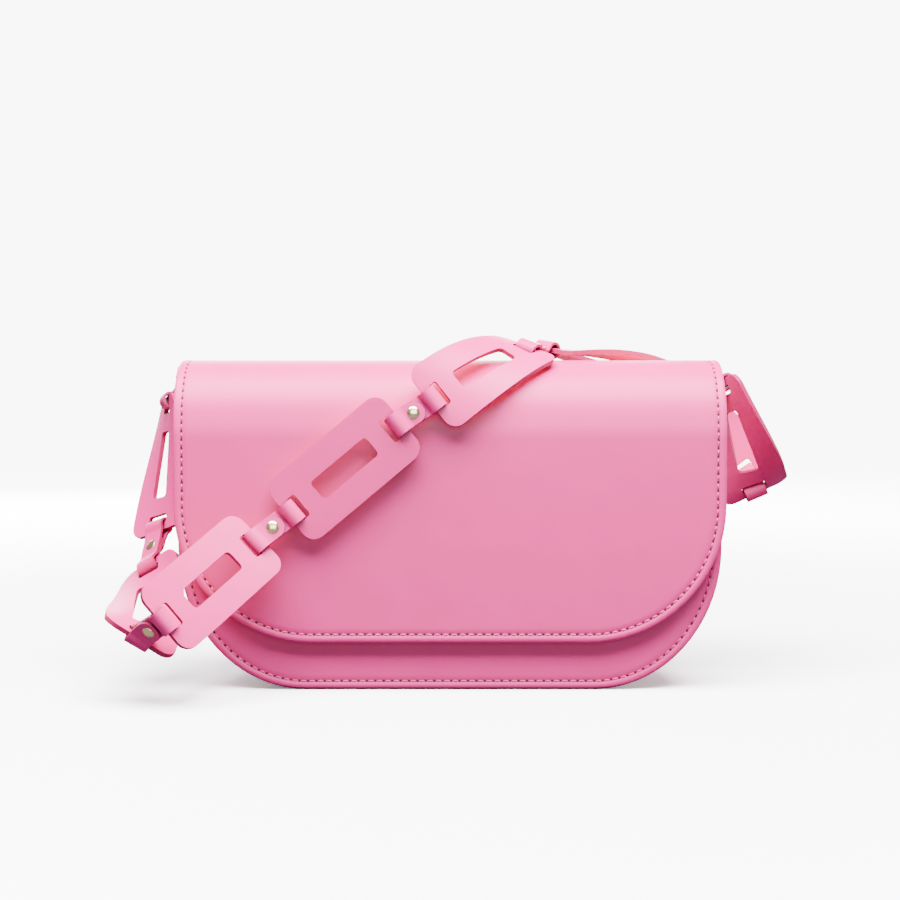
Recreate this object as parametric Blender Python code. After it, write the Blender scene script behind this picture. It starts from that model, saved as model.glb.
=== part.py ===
"""A flap bag of smooth leather with a shoulder strap of leather links.

Frame: X to the right, +Y to the back, +Z up, origin in the middle of the base.
All the dimensions below are in millimetres; the meshes are made in metres.
"""

import bmesh
import bpy
import numpy as np
from mathutils import Vector

MM = 0.001
GAP = 0.3  # clearance kept between neighbouring parts

# ---- bag body
PANEL_HALF = 123.7
PANEL_THICK = 2.2
CORNER_WIDE, CORNER_HIGH = 58.0, 65.0  # the rounded bottom corners
FRONT_Y = -29.4  # outer face of the front panel
FRONT_TOP = 120.0
BACK_Y = 31.0  # outer face of the back panel
GUSSET_INSET = 3.0
GUSSET_THICK = 1.6
GUSSET_TOP, GUSSET_COLUMNS = 126.0, 9
ROLL_CLEAR = 1.5  # more room between the gusset and the flap over it
LINING_THICK = 0.8
LINING_TOP = 117.0

# ---- flap
FLAP_HALF = 125.0
FLAP_THICK = 2.2
FLAP_BOTTOM = 22.0
FLAP_CORNER = 62.0
FLAP_LINING_INSET = 1.2
FOLD = (23.7, 142.0)  # the hinge line of the flap, as (y, z)
# The side view of the back's rolled top and the crown, up the back and over to the front, as (y, z).
ROLL = [(31.0, 122.0), (30.2, 130.0), (27.8, 136.8), FOLD, (15.0, 147.0), (5.0, 149.7), (-5.0, 150.0),
        (-15.0, 147.8), (-25.0, 141.0), (-31.4, 131.0), (-34.0, 119.0)]
FLAP_Y = -34.0  # outer face of the flap down the front
SNAP_Z = 60.0
SNAP_RADIUS = 7.0

# ---- strap
LINK_LONG, LINK_HALF, LINK_THICK = 66.5, 17.0, 2.2
LINK_CORNER = 6.5
BAR = 4.2  # the end bar beyond each slot
SLOT_LONG, SLOT_HALF, SLOT_CORNER = 4.2, 5.9, 0.6
WINDOW_START, WINDOW_HALF, WINDOW_CORNER = 17.2, 5.0, 2.0
STRIP_HALF, STRIP_THICK = 5.3, 1.3
LOOP_RADIUS = 3.45  # middle of the strip round a bar
TAB_RADIUS = 5.2
TAB_CLEAR = 5.4  # between the end of a tab and the middle of the second bar
FLAT = 3.3  # how far a strip is flat before its rivet
PAIR_STEP = 0.95  # from the middle of a two-layer connector to the middle of a layer
STRIP_STEP = 3.2  # longest step along a strip's path
LOOP_FLARE = (3.4, 1.3)  # where a strip spreads into its loop: along, and out from half its step
INNER_END = 2.8  # how far the inner end of a strip goes past its rivet
INNER_BEND, INNER_FLAT = (3.9, 0.5), 5.0  # the inner end leaving the second loop
SECOND_FLARE = 5.2  # where the strip starts to spread into its second loop
RIVET_HEAD, RIVET_SHANK, RIVET_HOLE = 2.9, 1.3, 1.6
RIVET_DOME = 0.9
RIVET_SLACK = 0.25
END_SLACK = 0.55  # more under the outer head of an end rivet, where its strip starts to bend

# Each link in turn from the left anchor: the middles of its end edges, the directions it leaves
# them along (0, 0, 0 for straight), and the directions across it there.
LINKS = {
    "link_1": ((-135.5, 22.0, 133.0), (-138.2, 4.0, 68.8), (0, -0.15, -1), (0.05, -0.5, -0.86),
               (0.3, -0.94, 0.1), (0.8, -0.47, 0.32)),
    "link_2": ((-139.6, -9.0, 56.0), (-134.2, -70.0, 29.3), (0.03, -0.75, -0.66), (0.05, -0.97, -0.25),
               (0.75, -0.45, 0.45), (0.79, 0.18, -0.55)),
    "link_3": ((-122.5, -82.0, 38.2), (-85.4, -40.8, 70.3), (0, 0, 0), (0, 0, 0),
               (0.63, 0.05, -0.77), (0.7, -0.1, -0.7)),
    "link_4": ((-72.7, -38.7, 80.3), (-21.7, -38.7, 123.1), (0, 0, 0), (0, 0, 0),
               (0.643, 0.0, -0.766), (0.643, 0.0, -0.766)),
    "link_5": ((-9.2, -37.9, 131.2), (38.0, -6.0, 155.3), (0.78, 0.1, 0.62), (0.66, 0.75, 0.05),
               (0.62, -0.05, -0.77), (0.75, -0.6, -0.28)),
    "link_6": ((44.5, 8.5, 155.6), (100.0, 42.0, 139.8), (0.72, 0.68, -0.08), (0.5, 0.78, -0.4),
               (0.74, -0.66, -0.15), (0.83, -0.42, 0.3)),
    "link_7": ((106.5, 58.5, 137.5), (149.5, 51.0, 91.5), (0.62, 0.1, -0.75), (0.5, -0.3, -0.8),
               (0.76, -0.3, 0.55), (0.84, 0.0, 0.53)),
    "link_8": ((150.0, 33.0, 85.5), (132.4, 24.3, 141.0), (-0.3, -0.8, 0.6), (-0.2, 0.2, 0.97),
               (0.87, -0.1, 0.48), (0.2, -0.95, 0.1)),
}
# The rivets at the two anchors, and the directions of the connectors that reach them.
ANCHOR_LEFT = (-129.8, 23.7, 142.0)
ANCHOR_RIGHT = (127.6, 22.0, 128.5)
ANCHOR_HALF, ANCHOR_THICK = 4.5, 1.6
ANCHOR_INNER = 121.1  # where a tab lies on the gusset
ANCHOR_OFF = 4.4  # from its inner face there to the middle of its connector

COLOURS = {
    "leather": ((0.80, 0.27, 0.46), 0.42, 0.0),
    "fabric": ((0.62, 0.30, 0.42), 0.9, 0.0),
    "gold": ((0.85, 0.72, 0.45), 0.25, 1.0),
}


# ---------------------------------------------------------------- helpers
def clear_scene():
    for thing in list(bpy.data.objects):
        bpy.data.objects.remove(thing, do_unlink=True)


def material(name):
    found = bpy.data.materials.get(name)
    if found:
        return found
    colour, rough, metal = COLOURS[name]
    made = bpy.data.materials.new(name)
    made.use_nodes = True
    shader = made.node_tree.nodes["Principled BSDF"]
    shader.inputs["Base Color"].default_value = (*colour, 1.0)
    shader.inputs["Roughness"].default_value = rough
    shader.inputs["Metallic"].default_value = metal
    return made


def add_object(name, points, faces, kind, smooth=True):
    """One closed body from points in millimetres."""
    mesh = bpy.data.meshes.new(name)
    mesh.from_pydata([tuple(np.asarray(p, float) * MM) for p in points], [], faces)
    shape = bmesh.new()
    shape.from_mesh(mesh)
    bmesh.ops.remove_doubles(shape, verts=shape.verts, dist=1e-6)
    bmesh.ops.recalc_face_normals(shape, faces=shape.faces)
    if shape.calc_volume(signed=True) < 0.0:
        bmesh.ops.reverse_faces(shape, faces=shape.faces)
    shape.to_mesh(mesh)
    shape.free()
    thing = bpy.data.objects.new(name, mesh)
    bpy.context.collection.objects.link(thing)
    mesh.materials.append(material(kind))
    if smooth:
        mesh.polygons.foreach_set("use_smooth", [True] * len(mesh.polygons))
        mesh.set_sharp_from_angle(angle=0.7)
    return thing


def unit(v):
    v = np.asarray(v, float)
    return v / np.linalg.norm(v)


def cut(thing, tool):
    """Take the tool's shape out of the thing."""
    tool.hide_render = True
    tool.display_type = "WIRE"
    step = thing.modifiers.new("cut", "BOOLEAN")
    step.operation = "DIFFERENCE"
    step.solver = "EXACT"
    step.object = tool


def round_bar(name, middle, axis, radius, length, sides=20):
    """A cylinder's points and faces, for cutting holes."""
    axis = unit(axis)
    side = unit(np.cross(axis, (0.3, 0.5, 0.8)))
    other = np.cross(axis, side)
    points = []
    for end in (-0.5, 0.5):
        for k in range(sides):
            turn = 2 * np.pi * k / sides
            rim = side * np.cos(turn) + other * np.sin(turn)
            points.append(np.asarray(middle) + axis * length * end + rim * radius)
    faces = [[k, (k + 1) % sides, sides + (k + 1) % sides, sides + k] for k in range(sides)]
    faces += [list(range(sides)), list(range(sides, 2 * sides))]
    return add_object(name, points, faces, "gold")


def through_curve(knots, step):
    """Points along a smooth curve through the knots (Catmull-Rom), about one step apart."""
    knots = [np.asarray(k, float) for k in knots]
    ends = [2 * knots[0] - knots[1]] + knots + [2 * knots[-1] - knots[-2]]
    points = [knots[0]]
    for a, b, c, d in zip(ends, ends[1:], ends[2:], ends[3:]):
        count = max(1, round(np.linalg.norm(c - b) / step))
        for k in range(1, count + 1):
            t = k / count
            points.append(0.5 * (2 * b + (c - a) * t + (2 * a - 5 * b + 4 * c - d) * t * t
                                 + (3 * b - a - 3 * c + d) * t ** 3))
    return points


def normals_2d(line):
    """The left-hand normal at every point of an open line."""
    line = np.asarray(line, float)
    along = np.gradient(line, axis=0)
    along /= np.linalg.norm(along, axis=1)[:, None]
    return np.stack([-along[:, 1], along[:, 0]], axis=1)


def corner_half(z, half, wide, high, bottom=0.0):
    """Half the width of a rounded-bottomed panel at height z."""
    if z >= bottom + high:
        return half
    up = np.clip((z - bottom) / high, 0.0, 1.0)
    return half - wide * (1.0 - np.sqrt(max(0.0, 1.0 - (1.0 - up) ** 2)))


def corner_heights(bottom, high, count):
    """Heights through a rounded corner, closer together where it turns most."""
    return [bottom + high * (1 - np.cos(0.5 * np.pi * k / count)) for k in range(count + 1)]


def sheet(name, rows, halves, thick, kind, columns):
    """A sheet bent along rows of (y, z): its outer face runs through the rows and its thickness
    goes to their left-hand side."""
    rows = np.asarray(rows, float)
    inner = rows + normals_2d(rows) * thick
    points = []
    for line in (rows, inner):
        for (y, z), half in zip(line, halves):
            for x in np.linspace(-half, half, columns):
                points.append((x, y, z))
    count = len(rows)

    def at(layer, row, column):
        return (layer * count + row) * columns + column

    faces = []
    for i in range(count - 1):
        for j in range(columns - 1):
            for layer in (0, 1):
                faces.append([at(layer, i, j), at(layer, i, j + 1), at(layer, i + 1, j + 1),
                              at(layer, i + 1, j)])
        for j in (0, columns - 1):
            faces.append([at(0, i, j), at(1, i, j), at(1, i + 1, j), at(0, i + 1, j)])
    for i in (0, count - 1):
        for j in range(columns - 1):
            faces.append([at(0, i, j), at(0, i, j + 1), at(1, i, j + 1), at(1, i, j)])
    return add_object(name, points, faces, kind)


# ---------------------------------------------------------------- the bag
def roll_rows():
    """The roll's points up to the fold line, and from the fold line on."""
    points = through_curve(ROLL, 3.5)
    turn = next(k for k, p in enumerate(points) if np.allclose(p, FOLD))
    return points[:turn + 1], points[turn:]


def roll_height(y):
    """The height of the roll's outer face at a depth."""
    points = np.array(through_curve(ROLL, 3.5))[::-1]
    return float(np.interp(y, points[:, 0], points[:, 1]))


def make_panels():
    low = corner_heights(0.0, CORNER_HIGH, 9)
    heights = low + [95.0, FRONT_TOP]
    halves = [corner_half(z, PANEL_HALF, CORNER_WIDE, CORNER_HIGH) for z in heights]
    front = sheet("front_panel", [(FRONT_Y, z) for z in heights][::-1], halves[::-1], PANEL_THICK,
                  "leather", 7)
    roll, _ = roll_rows()
    roll[-1] = roll[-1] + unit(roll[-2] - roll[-1]) * GAP
    rows = [(BACK_Y, z) for z in low + [95.0]] + roll
    halves = [corner_half(z, PANEL_HALF, CORNER_WIDE, CORNER_HIGH) for _, z in rows]
    sheet("back_panel", rows, halves, PANEL_THICK, "leather", 5)
    return front


def band_outline(inset, bottom, top, count=10):
    """The outline of the bag seen from the front, from its top left round to its top right."""
    half = PANEL_HALF - inset
    wide, high = CORNER_WIDE - inset * 0.5, CORNER_HIGH - inset * 0.5
    right = [(corner_half(z, half, wide, high, bottom), z) for z in corner_heights(bottom, high, count)]
    right.append((half, top))
    return [(-x, z) for x, z in right[::-1]] + right


def make_gusset():
    outer = np.array(band_outline(GUSSET_INSET, 0.0, GUSSET_TOP))
    inner = outer + normals_2d(outer) * GUSSET_THICK
    front, back = FRONT_Y + PANEL_THICK + GAP, BACK_Y - PANEL_THICK - GAP
    levels = np.linspace(front, back, GUSSET_COLUMNS)
    under = FLAP_THICK + LINING_THICK + 3 * GAP + ROLL_CLEAR
    tops = [max(FRONT_TOP, roll_height(y) - under) for y in levels]
    tops[0] = FRONT_TOP
    tops[-1] = LINING_TOP  # under the back panel's roll
    points = []
    count = len(outer)
    for line in (outer, inner):
        for k, (x, z) in enumerate(line):
            for y, top in zip(levels, tops):
                points.append((x, y, top if k in (0, count - 1) else z))
    wide = len(levels)

    def at(layer, k, column):
        return (layer * count + k) * wide + column

    faces = []
    for k in range(count - 1):
        for j in range(wide - 1):
            for layer in (0, 1):
                faces.append([at(layer, k, j), at(layer, k, j + 1), at(layer, k + 1, j + 1),
                              at(layer, k + 1, j)])
        for j in (0, wide - 1):
            faces.append([at(0, k, j), at(1, k, j), at(1, k + 1, j), at(0, k + 1, j)])
    for k in (0, count - 1):
        for j in range(wide - 1):
            faces.append([at(0, k, j), at(0, k, j + 1), at(1, k, j + 1), at(1, k, j)])
    add_object("gusset", points, faces, "leather")


def block(name, outline, front, back, kind):
    """An outline of (x, z) carried from front to back."""
    count = len(outline)
    points = [(x, y, z) for y in (front, back) for x, z in outline]
    faces = [[k, (k + 1) % count, count + (k + 1) % count, count + k] for k in range(count)]
    faces += [list(range(count)), list(range(count, 2 * count))]
    return add_object(name, points, faces, kind)


def make_lining():
    side = GUSSET_INSET + GUSSET_THICK + GAP
    base = GUSSET_THICK + GAP
    front = FRONT_Y + PANEL_THICK + GAP
    back = BACK_Y - PANEL_THICK - GAP
    tub = block("lining", band_outline(side, base, LINING_TOP), front, back, "fabric")
    room = band_outline(side + LINING_THICK, base + LINING_THICK, LINING_TOP + 5)
    hollow = block("lining_hollow", room, front + LINING_THICK, back - LINING_THICK, "fabric")
    cut(tub, hollow)


def flap_rows(start, depth, lift=0.0):
    """Rows down the flap from its fold line, at a depth under its outer face."""
    _, crown = roll_rows()
    heights = corner_heights(FLAP_BOTTOM + lift, FLAP_CORNER - lift, 9)[::-1]
    rows = np.array(crown + [(FLAP_Y, 100.0)] + [(FLAP_Y, z) for z in heights])
    normals = normals_2d(rows)
    rows[0] = rows[0] + unit(rows[1] - rows[0]) * start
    return rows + normals * depth


def make_flap():
    rows = flap_rows(GAP, 0.0)
    halves = [corner_half(z, FLAP_HALF, FLAP_CORNER, FLAP_CORNER, FLAP_BOTTOM) for _, z in rows]
    flap = sheet("flap", rows, halves, FLAP_THICK, "leather", 7)
    rows = flap_rows(GAP, FLAP_THICK + GAP, FLAP_LINING_INSET)
    halves = [corner_half(z, FLAP_HALF, FLAP_CORNER, FLAP_CORNER, FLAP_BOTTOM) - FLAP_LINING_INSET
              for _, z in rows]
    lining = sheet("flap_lining", rows, halves, LINING_THICK, "fabric", 7)
    return flap, lining


def make_snap(front_panel, flap_lining):
    """The two magnetic halves, each let into the layer it is set in."""
    hole = SNAP_RADIUS + GAP
    middle = (0.0, FRONT_Y + PANEL_THICK / 2, SNAP_Z)
    cut(front_panel, round_bar("snap_lower_hole", middle, (0, 1, 0), hole, 6.0, 24))
    lining_y = FLAP_Y + FLAP_THICK + GAP + LINING_THICK / 2
    cut(flap_lining, round_bar("snap_upper_hole", (0.0, lining_y, SNAP_Z), (0, 1, 0), hole, 3.0, 24))
    round_bar("snap_lower", (0.0, FRONT_Y + 0.9, SNAP_Z), (0, 1, 0), SNAP_RADIUS, 2.4, 24)
    round_bar("snap_upper", (0.0, lining_y + 0.1, SNAP_Z), (0, 1, 0), SNAP_RADIUS, 1.0, 24)


# ---------------------------------------------------------------- the strap
class Ribbon:
    """A curve with a direction across it: places flat (s, w, n) points in space."""

    def __init__(self, start, end, leave, arrive, across_start, across_end, long):
        self.p0, self.p1 = np.asarray(start, float), np.asarray(end, float)
        chord = self.p1 - self.p0
        size = np.linalg.norm(chord)
        self.t0 = unit(leave) * size if np.any(leave) else chord
        self.t1 = unit(arrive) * size if np.any(arrive) else chord
        self.w0, self.w1 = unit(across_start), unit(across_end)
        self.long = long

    def frame(self, s):
        u = min(1.0, max(0.0, s / self.long))
        p = ((2 * u ** 3 - 3 * u * u + 1) * self.p0 + (u ** 3 - 2 * u * u + u) * self.t0
             + (3 * u * u - 2 * u ** 3) * self.p1 + (u ** 3 - u * u) * self.t1)
        d = ((6 * u * u - 6 * u) * (self.p0 - self.p1) + (3 * u * u - 4 * u + 1) * self.t0
             + (3 * u * u - 2 * u) * self.t1)
        across = unit(self.w0 * (1 - u) + self.w1 * u)
        return p, unit(d), across, s - u * self.long


class LinkRibbon(Ribbon):
    """The direction across is squared up to the curve."""

    def place(self, s, w, n):
        p, along, across, over = self.frame(s)
        across = unit(across - along * across.dot(along))
        return p + along * over + across * w + np.cross(across, along) * n

    def bar(self, far):
        """The middle of an end bar, the way out of the link there, and the direction across it."""
        s = self.long - BAR / 2 if far else BAR / 2
        _, along, across, _ = self.frame(s)
        across = unit(across - along * across.dot(along))
        return self.place(s, 0.0, 0.0), along, across


class StripRibbon(Ribbon):
    """The curve is squared up to the direction across, so each loop lies along its bar."""

    def place(self, s, w, n):
        p, along, across, over = self.frame(s)
        along = unit(along - across * along.dot(across))
        return p + along * over + across * w + np.cross(across, along) * n


def rounded(s, start, end, half, corner):
    """Half the width at s of a rectangle from start to end with rounded corners."""
    near = min(s - start, end - s)
    if near >= corner:
        return half
    near = max(0.0, near)
    return half - corner + np.sqrt(max(0.0, corner ** 2 - (corner - near) ** 2))


def corner_stations(start, end, corner, count):
    steps = [corner * (1 - np.cos(0.5 * np.pi * k / count)) for k in range(count + 1)]
    return [start + x for x in steps] + [end - x for x in steps]


def make_link(name, ribbon):
    far = LINK_LONG
    slots = [(BAR, BAR + SLOT_LONG), (far - BAR - SLOT_LONG, far - BAR)]
    holes = [(*slots[0], SLOT_HALF, SLOT_CORNER),
             (WINDOW_START, far - WINDOW_START, WINDOW_HALF, WINDOW_CORNER),
             (*slots[1], SLOT_HALF, SLOT_CORNER)]
    stations = corner_stations(0.0, far, LINK_CORNER, 3)
    for start, end, _, corner in holes:
        stations += corner_stations(start, end, corner, 1)
    stations += list(np.linspace(WINDOW_START, far - WINDOW_START, 6))
    stations = sorted(set(np.round(stations, 4)))

    lines = []
    open_cells = []
    for i, s in enumerate(stations):
        outer = rounded(s, 0.0, far, LINK_HALF, LINK_CORNER)
        inside = SLOT_HALF if s < WINDOW_START - 4 or s > far - WINDOW_START + 4 else WINDOW_HALF
        for start, end, half, corner in holes:
            if start <= s <= end:
                inside = rounded(s, start, end, half, corner)
            if start <= s < end:
                open_cells.append(i)
        lines.append((-outer, -inside, inside, outer))

    points = [ribbon.place(s, w, n) for n in (LINK_THICK / 2, -LINK_THICK / 2)
              for s, line in zip(stations, lines) for w in line]
    layer = 4 * len(stations)
    top = [[4 * i + j, 4 * i + j + 1, 4 * i + j + 5, 4 * i + j + 4]
           for i in range(len(stations) - 1) for j in range(3) if not (j == 1 and i in open_cells)]
    faces = top + [[v + layer for v in face[::-1]] for face in top]
    edges = {(face[k], face[(k + 1) % 4]) for face in top for k in range(4)}
    faces += [[b, a, a + layer, b + layer] for a, b in edges if (b, a) not in edges]
    add_object(name, points, faces, "leather")


def arc(s, n, start, end, count):
    """Points round (s, n) from one angle to another, in degrees."""
    turns = np.radians(np.linspace(start, end, count))
    return [(s + LOOP_RADIUS * np.cos(t), n + LOOP_RADIUS * np.sin(t)) for t in turns]


def strip_path(span, rivet, layers):
    """The middle of a connector's strip seen from its edge: a tab, a loop round the first bar,
    and either a loop round the second bar or a second layer under the tab."""
    step = STRIP_THICK + GAP if layers == 3 else PAIR_STEP
    tab_end = rivet + TAB_RADIUS
    tab = [(tab_end - x, step) for x in (0.0, 0.6, 2.0, TAB_RADIUS, TAB_RADIUS + FLAT)]
    flare_along, flare_out = LOOP_FLARE
    flare_out += 0.5 * step
    path = tab + [(flare_along, flare_out)] + arc(0.0, 0.0, 62, 298, 9)
    path += [(flare_along, -flare_out), (rivet - FLAT, -step)]
    if layers == 2:
        path += [(rivet, -step), (tab_end - 2.0, -step), (tab_end - 0.6, -step), (tab_end, -step)]
        return path, 5, len(path) - 4
    path += [(span - SECOND_FLARE, -step), (span - flare_along, -flare_out)]
    path += arc(span, 0.0, 242, 508, 10)
    path += [(span - INNER_BEND[0], INNER_BEND[1]), (span - INNER_FLAT, 0.0), (rivet, 0.0),
             (rivet - INNER_END, 0.0)]
    return path, 5, len(path)


def divided(path, tab_count, rest):
    """The path with its longer steps divided, and the two places in it moved along to match."""
    points, places = [], []
    for start, end in zip(path, path[1:]):
        places.append(len(points))
        step = np.subtract(end, start)
        count = max(1, int(np.ceil(np.linalg.norm(step) / STRIP_STEP)))
        points += [np.asarray(start) + step * k / count for k in range(count)]
    points.append(np.asarray(path[-1]))
    places += [len(points) - 1, len(points)]
    return np.array(points), places[tab_count], places[rest]


def make_connector(name, ribbon, span, layers):
    rivet = span if layers == 2 else min(span / 2, span - TAB_RADIUS - TAB_CLEAR)
    path, tab_count, rest = strip_path(span, rivet, layers)
    path, tab_count, rest = divided(path, tab_count, rest)
    sides = normals_2d(path) * STRIP_THICK / 2
    points = []
    for k, ((s, n), side) in enumerate(zip(path, sides)):
        half = STRIP_HALF
        if (k < tab_count or k >= rest) and s > rivet:
            half = np.sqrt(max(0.0, STRIP_HALF ** 2 - (s - rivet) ** 2)) + 0.4
            half = min(STRIP_HALF, half)
        for sign, w in ((1, -half), (1, half), (-1, half), (-1, -half)):
            points.append(ribbon.place(s + sign * side[0], w, n + sign * side[1]))
    last = 4 * (len(path) - 1)
    faces = [[4 * k + j, 4 * k + (j + 1) % 4, 4 * k + 4 + (j + 1) % 4, 4 * k + 4 + j]
             for k in range(len(path) - 1) for j in range(4)]
    faces += [[0, 1, 2, 3], [last, last + 1, last + 2, last + 3]]
    strip = add_object(name, points, faces, "leather")
    middle = ribbon.place(rivet, 0.0, 0.0)
    axis = ribbon.place(rivet, 0.0, 1.0) - middle
    return strip, middle, axis


def make_rivet(name, middle, axis, low, high):
    """A domed head at each end of a shank, made by turning a profile round the axis."""
    profile = [(0.0, high + RIVET_DOME), (1.5, high + 0.75 * RIVET_DOME), (2.5, high + 0.4 * RIVET_DOME),
               (RIVET_HEAD, high), (RIVET_SHANK, high), (RIVET_SHANK, low), (RIVET_HEAD, low),
               (2.5, low - 0.3), (0.0, low - 0.5)]
    axis = unit(axis)
    side = unit(np.cross(axis, (0.31, 0.52, 0.79)))
    other = np.cross(axis, side)
    sides = 12
    points = []
    for radius, height in profile:
        for k in range(sides):
            turn = 2 * np.pi * k / sides
            rim = side * np.cos(turn) + other * np.sin(turn)
            points.append(middle + axis * height + rim * radius)
    faces = [[r * sides + k, r * sides + (k + 1) % sides, (r + 1) * sides + (k + 1) % sides,
              (r + 1) * sides + k] for r in range(len(profile) - 1) for k in range(sides)]
    faces += [list(range(sides)), list(range(len(points) - sides, len(points)))]
    add_object(name, points, faces, "gold")


def make_anchor(name, side, rivet_at):
    """A tab that lies on the gusset, then steps out to stand under its connector."""
    _, y, rivet_z = rivet_at
    out_x = abs(rivet_at[0]) - ANCHOR_OFF
    foot = 98.0
    heights = [foot, rivet_z - 22.0, rivet_z - 15.0, rivet_z]
    outs = [ANCHOR_INNER, ANCHOR_INNER, out_x, out_x]
    rows = [(x, z, ANCHOR_HALF) for x, z in zip(outs, heights)]
    for turn in (25, 50, 72, 88):
        rows.append((out_x, rivet_z + ANCHOR_HALF * np.sin(np.radians(turn)),
                     ANCHOR_HALF * np.cos(np.radians(turn))))
    points = [(side * (x + out), y + sign * half, z) for x, z, half in rows
              for out, sign in ((0, -1), (0, 1), (ANCHOR_THICK, 1), (ANCHOR_THICK, -1))]
    last = 4 * (len(rows) - 1)
    faces = [[4 * k + j, 4 * k + (j + 1) % 4, 4 * k + 4 + (j + 1) % 4, 4 * k + 4 + j]
             for k in range(len(rows) - 1) for j in range(4)]
    faces += [[0, 1, 2, 3], [last, last + 1, last + 2, last + 3]]
    add_object(name, points, faces, "leather")


def make_strap():
    ribbons = {}
    for name, (start, end, leave, arrive, across_start, across_end) in LINKS.items():
        ribbons[name] = LinkRibbon(start, end, leave, arrive, across_start, across_end, LINK_LONG)
        make_link(name, ribbons[name])

    step = STRIP_THICK + GAP
    for k in range(1, len(LINKS)):
        start, _, across_start = ribbons[f"link_{k}"].bar(True)
        end, _, across_end = ribbons[f"link_{k + 1}"].bar(False)
        chord = end - start
        span = np.linalg.norm(chord)
        leave = chord - across_start * chord.dot(across_start)
        arrive = chord - across_end * chord.dot(across_end)
        ribbon = StripRibbon(start, end, leave, arrive, across_start, across_end, span)
        strip, middle, axis = make_connector(f"connector_{k}", ribbon, span, 3)
        cut(strip, round_bar(f"hole_{k}", middle, axis, RIVET_HOLE, 12.0, 10))
        high = step + STRIP_THICK / 2 + RIVET_SLACK
        make_rivet(f"rivet_{k}", middle, axis, -high, high)

    ends = (("link_1", False, ANCHOR_LEFT, "connector_0", "rivet_0", "anchor_left", -1),
            ("link_8", True, ANCHOR_RIGHT, "connector_8", "rivet_8", "anchor_right", 1))
    for link, far, anchor, name, rivet, tab, side in ends:
        bar, _, across = ribbons[link].bar(far)
        chord = np.asarray(anchor) - bar
        span = np.linalg.norm(chord)
        up = 1.0 if chord[2] > 0 else -1.0
        arrive = (0.0, 0.0, up)
        across_end = (0.0, -1.0, 0.0)
        leave = (-side * 1.0, 0.0, up * 0.7)
        leave = unit(leave) - across * unit(leave).dot(across)
        ribbon = StripRibbon(bar, anchor, leave, arrive, across, across_end, span)
        strip, middle, axis = make_connector(name, ribbon, span, 2)
        make_anchor(tab, side, anchor)
        cut(strip, round_bar(f"hole_{name}", middle, axis, RIVET_HOLE, 12.0, 10))
        face = PAIR_STEP + STRIP_THICK / 2 + RIVET_SLACK
        inward = 1.0 if axis[0] * side < 0.0 else -1.0
        make_rivet(rivet, middle, -axis * inward, -face, face + END_SLACK)


def main():
    clear_scene()
    front_panel = make_panels()
    make_gusset()
    make_lining()
    _, flap_lining = make_flap()
    make_snap(front_panel, flap_lining)
    make_strap()


main()
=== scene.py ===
"""A pink leather flap bag with a strap of leather links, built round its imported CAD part.

Frame: X to the right, +Y to the back, +Z up. The dimensions below are in millimetres.
"""

import bmesh
import bpy
import numpy as np
from mathutils import Matrix


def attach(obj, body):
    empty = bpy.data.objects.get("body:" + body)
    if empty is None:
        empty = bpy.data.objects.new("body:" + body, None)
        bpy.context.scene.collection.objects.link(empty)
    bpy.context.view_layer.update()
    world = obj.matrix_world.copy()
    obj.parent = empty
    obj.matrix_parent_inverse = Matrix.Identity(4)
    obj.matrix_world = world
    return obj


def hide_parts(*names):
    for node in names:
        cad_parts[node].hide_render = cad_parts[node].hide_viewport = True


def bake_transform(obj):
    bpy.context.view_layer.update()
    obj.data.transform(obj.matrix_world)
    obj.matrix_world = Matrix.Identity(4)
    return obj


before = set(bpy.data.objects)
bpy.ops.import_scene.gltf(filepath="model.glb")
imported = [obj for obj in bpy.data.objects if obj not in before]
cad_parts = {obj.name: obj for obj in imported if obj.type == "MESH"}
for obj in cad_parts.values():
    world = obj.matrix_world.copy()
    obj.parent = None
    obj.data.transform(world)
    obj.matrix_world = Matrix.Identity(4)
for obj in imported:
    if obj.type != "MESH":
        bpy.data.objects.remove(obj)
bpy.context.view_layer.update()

MM = 0.001

# ---- bag body, as in the CAD part
PANEL_HALF, PANEL_THICK = 123.7, 2.2
CORNER_WIDE, CORNER_HIGH = 58.0, 65.0
FRONT_Y, FRONT_TOP, BACK_Y = -29.4, 120.0, 31.0
GUSSET_INSET, GUSSET_THICK = 3.0, 1.6
LINING_THICK, LINING_TOP = 0.8, 117.0
GAP, SEAM = 0.3, 0.02
FLAP_HALF, FLAP_THICK, FLAP_BOTTOM, FLAP_CORNER, FLAP_Y = 125.0, 2.2, 22.0, 62.0, -34.0
FOLD = (23.7, 142.0)
ROLL = [(31.0, 122.0), (30.2, 130.0), (27.8, 136.8), FOLD, (15.0, 147.0), (5.0, 149.7), (-5.0, 150.0),
        (-15.0, 147.8), (-25.0, 141.0), (-31.4, 131.0), (-34.0, 119.0)]
FACING_HALF, FACING_THICK, FACING_REACH = 119.0, 0.35, 14  # the last is in steps of the roll to each side
SNAP_Z = 60.0

# ---- stitching
STITCH_INSET, STITCH_PITCH = 4.0, 3.85
THREAD_RADIUS, THREAD_LONG, THREAD_LIFT = 0.34, 2.3, -0.16
# the size and lift of the dark discs of painted shade that stand for the stitch holes
HOLE_SHADE_LONG, HOLE_SHADE_WIDE, HOLE_SHADE_LIFT = 0.62, 0.5, -0.08
# How a leather edge is finished: (distance from the edge, height over the face)
EDGE = [(0.0, -1.1), (0.12, -0.6), (0.45, -0.15), (1.0, 0.08), (2.0, 0.22), (3.0, 0.1), (3.6, -0.22),
        (4.0, -0.34), (4.4, -0.22), (5.2, 0.0), (7.0, 0.0)]

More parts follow.
